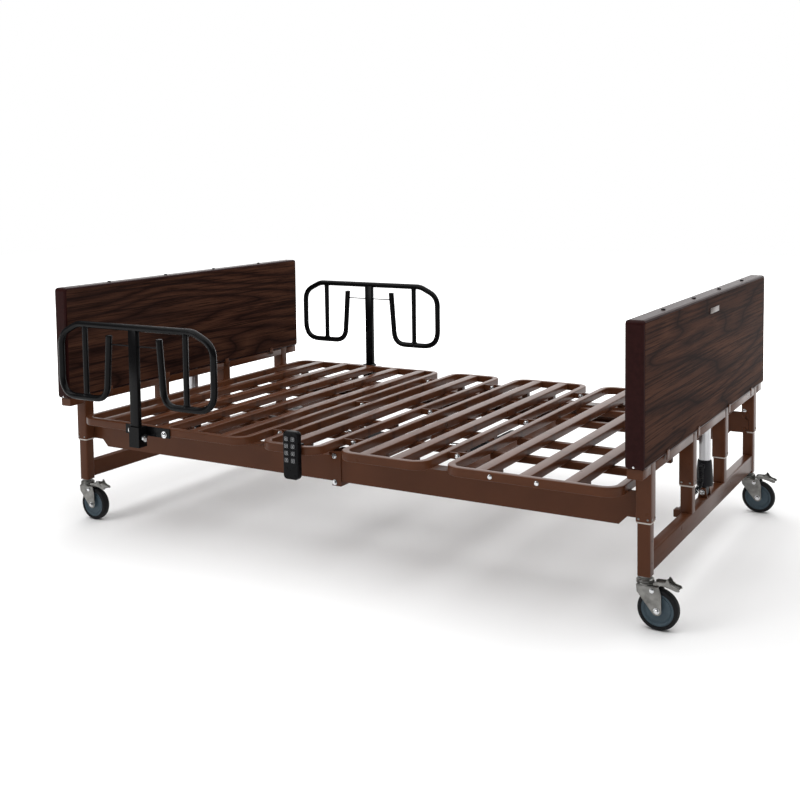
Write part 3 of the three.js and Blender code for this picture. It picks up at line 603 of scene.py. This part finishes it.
def leg_frame(end, side):
    legs = Maker(f"{end}_legs_and_crossbar")
    half = LEG["size"] / 2
    x = side * COLUMN_X
    for y in COLUMN_YS:
        bottom = LEG["bottom"] if abs(y) == 650 else LEG["inner_bottom"]
        legs.bar(2, (x - half, y - half, bottom), (x + half, y + half, LEG["top"]), LEG["round"], LEG["wall"])
        if abs(y) == 650:
            legs.bar(2, (x - 18, y - 18, bottom + 0.6), (x + 18, y + 18, bottom + 22), 2)
    deep = CROSSBAR["depth"] / 2
    low, high = sorted((x - side * 44, x - side * 19))
    legs.bar(1, (low, -222, 208), (high, -190, 234), 3)
    legs.turned([(7.4, -190.4), (9.5, -190.2), (9.5, -184), (7.4, -182)], (x - side * 32, 0, 221), axis=1,
                sides=32, closed=True)
    reach = COLUMN_YS[3] - half + 1
    legs.bar(1, (x - deep, -reach, CROSSBAR["bottom"]), (x + deep, reach, CROSSBAR["top"]), 5)
    for hand in HANDS.values():
        ear = [(x - 17, 226), (x + 17, 226), (x + 10, 262), (x - 10, 262)]
        legs.plate(ear, hand * 21, hand * 26)
    body = f"{end}_legs"
    legs.piece(body, "brown_paint", [f"{end}_leg_frame"])
    holes = [((x + side * half, y, z), (side, 0, 0)) for y in (-650, 650) for z in (196, 262)]
    grow(f"{end}_leg_hole_plugs", FASTENER, holes, FLUSH_PLUG, body, "black_plastic")
    grow(f"{end}_motor_bolts", FASTENER, [((x, hand * 26, 246), (0, hand, 0)) for hand in HANDS.values()],
         HEX_BOLT, body, "steel")


def lift(end, side):
    x = side * COLUMN_X
    body = f"{end}_legs"
    motor = Maker(f"{end}_lift_housing", (x, 0, 0))
    motor.turned([(12.3, 300), (12.3, 356), (21, 356), (23, 355), (24.5, 349), (26, 331), (28.4, 296),
                  (29, 281), (28.4, 270), (27, 266.6), (24, 266), (0.01, 266), (0.01, 300)], (0, 0, 0),
                 closed=True)
    motor.bar(2, (-11, -20, 234), (11, 20, 268), 3)
    motor.bar(1, (-8, -35.6, 330), (8, -20, 346), 4)
    motor.piece(body, "black_plastic", [f"{end}_lift_motor"])
    grooved = Maker(f"{end}_lift_column", (x, 0, 0))
    sides = 96
    ring = []
    for i in range(sides):
        turn = 2 * math.pi * i / sides
        radius = LIFT["tube_r"] - (1.1 if i % 12 in (0, 1) else 0)
        ring.append((radius * math.cos(turn), radius * math.sin(turn)))
    bore = [(LIFT["bore_r"] * math.cos(turn), LIFT["bore_r"] * math.sin(turn))
            for turn in (2 * math.pi * i / sides for i in range(sides))]
    levels = (LIFT["motor_top"] + 0.3, LIFT["tube_top"])
    grooved.rings([[(u, v, levels[0]) for u, v in ring], [(u, v, levels[1]) for u, v in ring],
                   [(u, v, levels[1]) for u, v in bore], [(u, v, levels[0]) for u, v in bore]], closed=True)
    grooved.piece(body, "anodised", [f"{end}_lift_tube"])


# ---- deck ----------------------------------------------------------------------------------------
def deck_section(name, spec):
    start, stop = spec["from"], spec["to"]
    first, pitch, count = spec["slats"]
    runner_level = (RUNNER["bottom"] + RUNNER["top"]) / 2
    seeds = [(((start + stop) / 2, y, runner_level), (0, 0, 1)) for y in RUNNER["ys"]]
    sizes = {"Middle": at((start + stop) / 2, 0, 0).x, "Length": (stop - start) * MM,
             "Half Width": DECK["half_width"] * MM, "Bar": DECK["bar"] * MM,
             "Height": (DECK["top"] - DECK["bottom"]) * MM, "Level": (DECK["top"] + DECK["bottom"]) / 2 * MM,
             "Corner": DECK["corner"] * MM, "Edge": DECK["edge"] * MM, "First Slat": at(first, 0, 0).x,
             "Slat Pitch": pitch * MM, "Slat Count": count, "Slat Width": SLAT["width"] * MM,
             "Slat Height": (SLAT["top"] - SLAT["bottom"]) * MM,
             "Slat Level": (SLAT["top"] + SLAT["bottom"]) / 2 * MM, "Runner Width": RUNNER["width"] * MM,
             "Runner Height": (RUNNER["top"] - RUNNER["bottom"]) * MM}
    grow(f"{name}_frame_and_slats", SECTION, seeds, sizes, spec["body"], "brown_paint", [f"{name}_section"],
         finish="deck_paint")


def lug(maker, start, axis_x, y):
    side = 1 if axis_x > start else -1
    shape = [(start - side * 2, HINGE["z"] - 11), (axis_x, HINGE["z"] - 11)]
    shape += [(axis_x + side * 11 * math.sin(a), HINGE["z"] - 11 * math.cos(a))
              for a in (math.pi * i / 12 for i in range(1, 12))]
    shape += [(axis_x, HINGE["z"] + 11), (start - side * 2, HINGE["z"] + 11)]
    maker.plate(shape, y - 3, y + 3, 0.6)


def lever(maker, axis_x, side):
    tip = HINGE["z"] - 128
    eye_x = axis_x + side * 10
    shape = [(axis_x + side * 40, 404), (axis_x + side * 190, 404), (axis_x + side * 190, 384)]
    shape += [(eye_x + side * 14 * math.sin(a), tip - 14 * math.cos(a))
              for a in (math.pi * (0.62 - 1.2 * i / 10) for i in range(11))]
    for hand in HANDS.values():
        maker.plate(shape, hand * 13.5, hand * 19.5, 0.6)


def hinge_work():
    """Lugs, levers and rest pads of each section, then the bolts that join them."""
    plates = {name: Maker(f"{name}_hinge_plates") for name in SECTIONS}
    for y in LUG_YS:
        lug(plates["back"], -280, HINGE["back"], y - 7)
        lug(plates["seat"], -216, HINGE["back"], y + 7)
        lug(plates["seat"], 30, HINGE["thigh"], y - 7)
        lug(plates["thigh"], 108, HINGE["thigh"], y + 7)
        lug(plates["thigh"], 446, HINGE["calf"], y - 7)
        lug(plates["calf"], 510, HINGE["calf"], y + 7)
    lever(plates["back"], HINGE["back"], -1)
    lever(plates["thigh"], HINGE["thigh"], 1)
    for name, spec in SECTIONS.items():
        for x in spec["pads"]:
            for hand in HANDS.values():
                low, high = sorted((hand * 578, hand * 612))
                plates[name].bar(2, (x - 12, low, 380.3), (x + 12, high, 406), 3)
        plates[name].piece(spec["body"], "brown_paint")
    bolts = {"bed_frame": ("back", "thigh"), "thigh": ("calf",)}
    for body, hinges in bolts.items():
        heads, nuts = [], []
        for hinge in hinges:
            for y in LUG_YS:
                heads.append(((HINGE[hinge], y - 10.2, HINGE["z"]), (0, -1, 0)))
                nuts.append(((HINGE[hinge], y + 10.2, HINGE["z"]), (0, 1, 0)))
        grow(f"{body}_hinge_bolts", FASTENER, heads + nuts, HEX_BOLT, body, "steel")
        shanks = Maker(f"{body}_hinge_shanks")
        for (x, y, z), _ in heads:
            shanks.turned([(0.01, 0), (4, 0), (4, 20.4), (0.01, 20.4)], (x, y, z), axis=1, sides=20)
        shanks.piece(body, "steel")


def frame_bolts():
    joint = [((28, hand * 629, z), (0, hand, 0)) for hand in HANDS.values() for z in (380, 287)]
    grow("joint_bracket_bolts", FASTENER, joint, HEX_BOLT, "bed_frame", "steel")
    bar = [((x, hand * 745, 417), (0, hand, 0)) for x in (680, 836) for hand in HANDS.values()]
    grow("calf_rail_bolts", FASTENER, bar, PAN_SCREW, "calf", "steel")
    for hand, side in HANDS.items():
        middle = ASSIST["centre"]
        face = side * (DECK["half_width"] + 5.3)
        places = [((middle + s * ASSIST["bolt_span"], face, 408), (0, side, 0)) for s in (-1, 1)]
        big = dict(HEX_BOLT, **{"Head Radius": 0.009, "Washer Radius": 0.0125})
        grow(f"{hand}_socket_bolts", FASTENER, places, big, "back", "steel")


# ---- casters -------------------------------------------------------------------------------------
def caster(corner, x, y):
    trail, wheel_r, rim_r = CASTER["trail"], CASTER["wheel_r"], CASTER["rim_r"]
    wheel = (x + trail, y, wheel_r)
    tyre = Maker(f"{corner}_tread")
    half = CASTER["half_tyre"]
    shoulder = [(rim_r, half), (wheel_r - 8, half), (wheel_r - 4, half - 1.4), (wheel_r - 1.2, half - 4.8),
                (wheel_r, half - 9.5)]
    tyre.turned([(r, -place) for r, place in shoulder] + shoulder[::-1], wheel, axis=1, sides=72, closed=True)
    tyre.piece(f"{corner}_wheel", "tyre", [f"{corner}_caster_tyre"])
    hub = Maker(f"{corner}_hub_disc")
    face = [(6.6, -17), (12, -17), (13, -15.5), (14.5, -8.5), (37.5, -8.5), (38.2, -9.4), (39.4, -9.4),
            (40, -8.5), (44, -12.4), (45.2, -13), (49.4, -13), (49.9, -12.2)]
    hub.turned(face + [(r, -place) for r, place in reversed(face)], wheel, axis=1, sides=72, closed=True)
    hub.piece(f"{corner}_wheel", "wheel_hub", [f"{corner}_caster_hub"])
    body = f"{corner}_caster"
    fork = Maker(f"{corner}_fork", (x, y, 0))
    fork.turned([(0.01, 133), (22, 133), (25, 134.2), (27, 138), (26, 140.4), (24.6, 141), (26, 141.8),
                 (27, 144), (25.5, 148), (21.5, 150), (21, 152), (18, 152.6), (17, CASTER["top"]),
                 (0.01, CASTER["top"])], (0, 0, 0))
    fork.bar(2, (-22, -23, 130), (44, 23, 134.5), 5)
    cheek = [(-22, 133), (46, 133), (54, 112), (trail + 15, wheel_r + 2)]
    cheek += [(trail + 15 * math.cos(a), wheel_r + 15 * math.sin(a))
              for a in (-0.1 - (math.pi - 0.75) * i / 9 for i in range(10))]
    cheek += [(-20, 112)]
    for side in (-1, 1):
        fork.plate(cheek, side * 19.5, side * 23, 1.0)
    fork.turned([(0.01, -24), (6, -24), (6, 24), (0.01, 24)], (trail, 0, wheel_r), axis=1, sides=24)
    fork.piece(body, "zinc", [f"{corner}_caster_fork"])
    bolts = [((x + trail, y + side * 23, wheel_r), (0, side, 0)) for side in (-1, 1)]
    grow(f"{corner}_axle_bolts", FASTENER, bolts, HEX_BOLT, body, "steel")
    rivets = [((x + 26, y + side * 23, 121), (0, side, 0)) for side in (-1, 1)]
    grow(f"{corner}_fork_rivets", FASTENER, rivets, PAN_SCREW, body, "steel")
    pedal = Maker(f"{corner}_pedal", (x, y, 0))
    tread = [(28, 137), (56, 138), (78, 133), (97, 127.4), (104, 128), (107, 131), (104, 137), (90, 140.5),
             (80, 147), (75, 155), (72, 158.6), (68, 158.4), (66, 153), (60, 148.4), (34, 147), (28, 143)]
    pedal.plate(tread, -17, -13.6, 0.8)
    pedal.plate(tread, 13.6, 17, 0.8)
    web = [(40, 140), (58, 141), (80, 136), (98, 130.4), (103, 131), (101, 134), (86, 138.4), (76, 143),
           (70, 145), (40, 145)]
    pedal.plate(web, -14, 14, 0.8)
    pedal.piece(f"{corner}_pedal", "zinc", [f"{corner}_brake_pedal"])


# ---- assist rails --------------------------------------------------------------------------------
def assist_rail(hand, side):
    lifted = RAIL_LIFT[hand]
    y, reach = -ASSIST["y"], ASSIST["reach"]
    low, high = 521 + lifted, 801 + lifted
    corners = [(-124, y, 762 + lifted), (-142, y, low), (-reach, y, low), (-reach, y, 757 + lifted),
               (-285, y, high), (285, y, high), (reach, y, 757 + lifted), (reach, y, low), (142, y, low),
               (124, y, 762 + lifted)]
    post_x = ASSIST["centre"] + side * ASSIST["offset"]
    rail = Maker(f"{hand}_rail_tubes", (post_x, 0, 0))
    rail.tube(filleted(corners, (62, 76, 72, 90, 90, 72, 76, 62)), ASSIST["tube"], 20)
    for x in (-248, 248):
        rail.turned([(0.01, low), (11, low), (11, high), (0.01, high)], (x, y, 0), sides=20)
        for z, sign in ((low + 12.5, 1), (high - 12.5, -1)):
            rail.turned(sorted([(0.01, -4), (13.2, -4), (13.4, 0.5), (11.2, sign * 4), (0.01, sign * 4)],
                               key=lambda p: p[1]), (x, y, z), sides=20)
    for x in (-124, 124):
        rail.turned([(0.01, 0), (12.7, 0), (12.7, 4), (11.4, 6), (6, 7.4), (0.01, 7.6)],
                    (x, y, 760 + lifted), sides=24)
    rail.turned([(0.01, -132), (2.5, -132), (2.5, 132), (0.01, 132)], (0, y, 733 + lifted), axis=0, sides=12)
    rail.bar(2, (-20, y - 10, 362 + lifted), (20, y + 10, high - 4), 3)
    turn = ((post_x, 0, 0), 180) if side > 0 else None
    rail.piece(f"{hand}_rail", "black_paint", [f"{hand}_assist_rail"], turn=turn)


# ---- pendant keys --------------------------------------------------------------------------------
def outline_strip(maker, ring, y, width, height=0.3):
    """A thin raised line that follows a closed ring in X and Z."""
    count = len(ring)
    middle = Vector((sum(p[0] for p in ring), sum(p[1] for p in ring))) / count
    inner = [Vector(p) + (middle - Vector(p)).normalized() * width for p in ring]
    maker.rings([[(x, y, z) for x, z in ring], [(x, y - height, z) for x, z in ring],
                 [(x, y - height, z) for x, z in inner], [(x, y, z) for x, z in inner]], closed=True)


def pendant_keys():
    """Each key gets a framed symbol: a short bar with an arrow up or down."""
    number = 0
    for row in range(4):
        for column in (-1, 1):
            number += 1
            x = KEY["x"] + column * KEY["pitch_x"] / 2
            z = KEY["top_z"] - row * KEY["pitch_z"]
            half = KEY["half"]
            mark = Maker(f"pendant_symbol_{number}")
            ring = rounded_ring(x - half, x + half, z - half, z + half, 2.2, 3)
            outline_strip(mark, ring, KEY["face_y"] + 0.05, 0.9)
            point = 1 if column < 0 else -1
            arrow = [(x - 2.6, z), (x + 2.6, z), (x, z + point * 3.6)]
            mark.plate(arrow, KEY["face_y"] + 0.05, KEY["face_y"] - 0.25, 0.1)
            base = z - point * 2.6
            tilt = (0, 0.9, 1.8, -0.9)[row]
            bar = [(x - 3.6, base - 0.5 - tilt / 2), (x + 3.6, base - 0.5 + tilt / 2),
                   (x + 3.6, base + 0.5 + tilt / 2), (x - 3.6, base + 0.5 - tilt / 2)]
            mark.plate(bar, KEY["face_y"] + 0.05, KEY["face_y"] - 0.25, 0.1)
            mark.piece(f"button_{number}", "key", finish="key_mark")


# ---- foot lift cable -----------------------------------------------------------------------------
def smooth_path(points, steps):
    """Catmull-Rom curve through the points."""
    knots = [Vector(p) for p in points]
    knots = [knots[0] * 2 - knots[1], *knots, knots[-1] * 2 - knots[-2]]
    path = []
    for a, b, c, d in zip(knots, knots[1:], knots[2:], knots[3:]):
        for i in range(steps):
            t = i / steps
            path.append(0.5 * ((2 * b) + (c - a) * t + (2 * a - 5 * b + 4 * c - d) * t * t
                               + (3 * b - a - 3 * c + d) * t ** 3))
    return path + [knots[-2]]


def coiled_cable():
    route = smooth_path([(1143, -36.5, 338), (1143, -42, 338), (1144, -54, 333), (1147, -62, 314),
                         (1146, -66, 290), (1138, -72, 268), (1122, -92, 251), (1112, -122, 234),
                         (1111, -160, 222), (1111, -189.6, 221)], 40)
    lengths = [0.0]
    for a, b in zip(route, route[1:]):
        lengths.append(lengths[-1] + (b - a).length)
    pitch, slack, wire_r = 6.0, 3.9, 2.4
    total = lengths[-1]
    steps = int(total / pitch * 14)
    side = Vector((1, 0, 0))
    path = []
    for i in range(steps + 1):
        place = total * i / steps
        k = min(np.searchsorted(lengths, place, side="right") - 1, len(route) - 2)
        span = max(lengths[k + 1] - lengths[k], 1e-9)
        along = route[k].lerp(route[k + 1], (place - lengths[k]) / span)
        tangent = (route[min(k + 2, len(route) - 1)] - route[max(k - 1, 0)]).normalized()
        side = (side - tangent * side.dot(tangent)).normalized()
        other = tangent.cross(side)
        turn = 2 * math.pi * place / pitch
        coil_r = 3.1 + slack * min(1, place / 16, (total - place) / 16)
        path.append(along + (side * math.cos(turn) + other * math.sin(turn)) * coil_r)
    cable = Maker("foot_lift_coiled_cable")
    cable.tube(path, wire_r, 8)
    cable.piece("foot_legs", "cable", ["foot_motor_cable"])


# ---- build ---------------------------------------------------------------------------------------
for end, side in ENDS.items():
    end_frame(end, side)
    leg_frame(end, side)
    lift(end, side)
    for hand, hand_side in HANDS.items():
        caster(f"{end}_{hand}", side * COLUMN_X, hand_side * 650)
for name, spec in SECTIONS.items():
    deck_section(name, spec)
hinge_work()
frame_bolts()
for hand, side in HANDS.items():
    assist_rail(hand, side)
pendant_keys()
coiled_cable()


# ---- floor, light and camera ---------------------------------------------------------------------
def studio():
    floor_data = bpy.data.meshes.new("floor")
    reach = 14
    floor_data.from_pydata([(-reach, -reach, -0.0005), (reach, -reach, -0.0005), (reach, reach, -0.0005),
                            (-reach, reach, -0.0005)], [], [(0, 1, 2, 3)])
    floor = bpy.data.objects.new("floor", floor_data)
    bpy.context.scene.collection.objects.link(floor)
    pale = Finish("pale_floor", (0.93, 0.93, 0.93), 0.9, specular=0.05)
    spot = pale.node("ShaderNodeVectorMath", {0: pale.place}, operation="LENGTH").outputs["Value"]
    glow = pale.node("ShaderNodeMapRange", {"Value": spot, "From Min": 1.8, "From Max": 5.0, "To Min": 0.0,
                                            "To Max": 1.0}).outputs[0]
    pale.shader.inputs["Emission Color"].default_value = (1, 1, 1, 1)
    pale.links.new(glow, pale.shader.inputs["Emission Strength"])
    floor_data.materials.append(pale.material)
    world = bpy.data.worlds.new("studio")
    world.use_nodes = True
    nodes, links = world.node_tree.nodes, world.node_tree.links
    dim = nodes["Background"]
    dim.inputs["Color"].default_value = (1, 1, 1, 1)
    dim.inputs["Strength"].default_value = 0.16
    backdrop = nodes.new("ShaderNodeBackground")
    backdrop.inputs["Color"].default_value = (1, 1, 1, 1)
    seen = nodes.new("ShaderNodeLightPath")
    either = nodes.new("ShaderNodeMixShader")
    links.new(seen.outputs["Is Camera Ray"], either.inputs[0])
    links.new(dim.outputs[0], either.inputs[1])
    links.new(backdrop.outputs[0], either.inputs[2])
    links.new(either.outputs[0], nodes["World Output"].inputs["Surface"])
    bpy.context.scene.world = world
    lamps = {"overhead": ((0.0, 0.4, 6.0), (12.0, 12.0), 900),
             "front_left": ((-3.2, -5.0, 3.4), (2.2, 1.8), 60),
             "backdrop": ((-2.0, 6.0, 1.9), (10.0, 3.4), 170)}
    for name, (place, size, power) in lamps.items():
        lamp = bpy.data.lights.new(name, "AREA")
        lamp.shape, lamp.energy = "RECTANGLE", power
        lamp.size, lamp.size_y = size
        shown = bpy.data.objects.new(name, lamp)
        shown.location = place
        shown.rotation_euler = (Vector((0, 0, 0.4)) - Vector(place)).to_track_quat("-Z", "Y").to_euler()
        bpy.context.scene.collection.objects.link(shown)


def camera():
    azimuth, elevation, roll = (math.radians(a) for a in (30.29, 3.997, -0.773))
    away = Vector((math.sin(azimuth) * math.cos(elevation), -math.cos(azimuth) * math.cos(elevation),
                   math.sin(elevation)))
    lens = bpy.data.cameras.new("camera")
    lens.lens, lens.sensor_width, lens.shift_y = 50.28, 36, -0.185
    lens.dof.use_dof = False
    lens.clip_end = 60
    made = bpy.data.objects.new("camera", lens)
    made.location = (2.1228, -3.8062, 1.3531)
    turn = away.to_track_quat("Z", "Y").to_matrix().to_4x4()
    made.rotation_euler = (turn @ Matrix.Rotation(roll, 4, "Z")).to_euler()
    bpy.context.scene.collection.objects.link(made)
    bpy.context.scene.camera = made
    bpy.context.scene.view_settings.view_transform = "Standard"


studio()
camera()
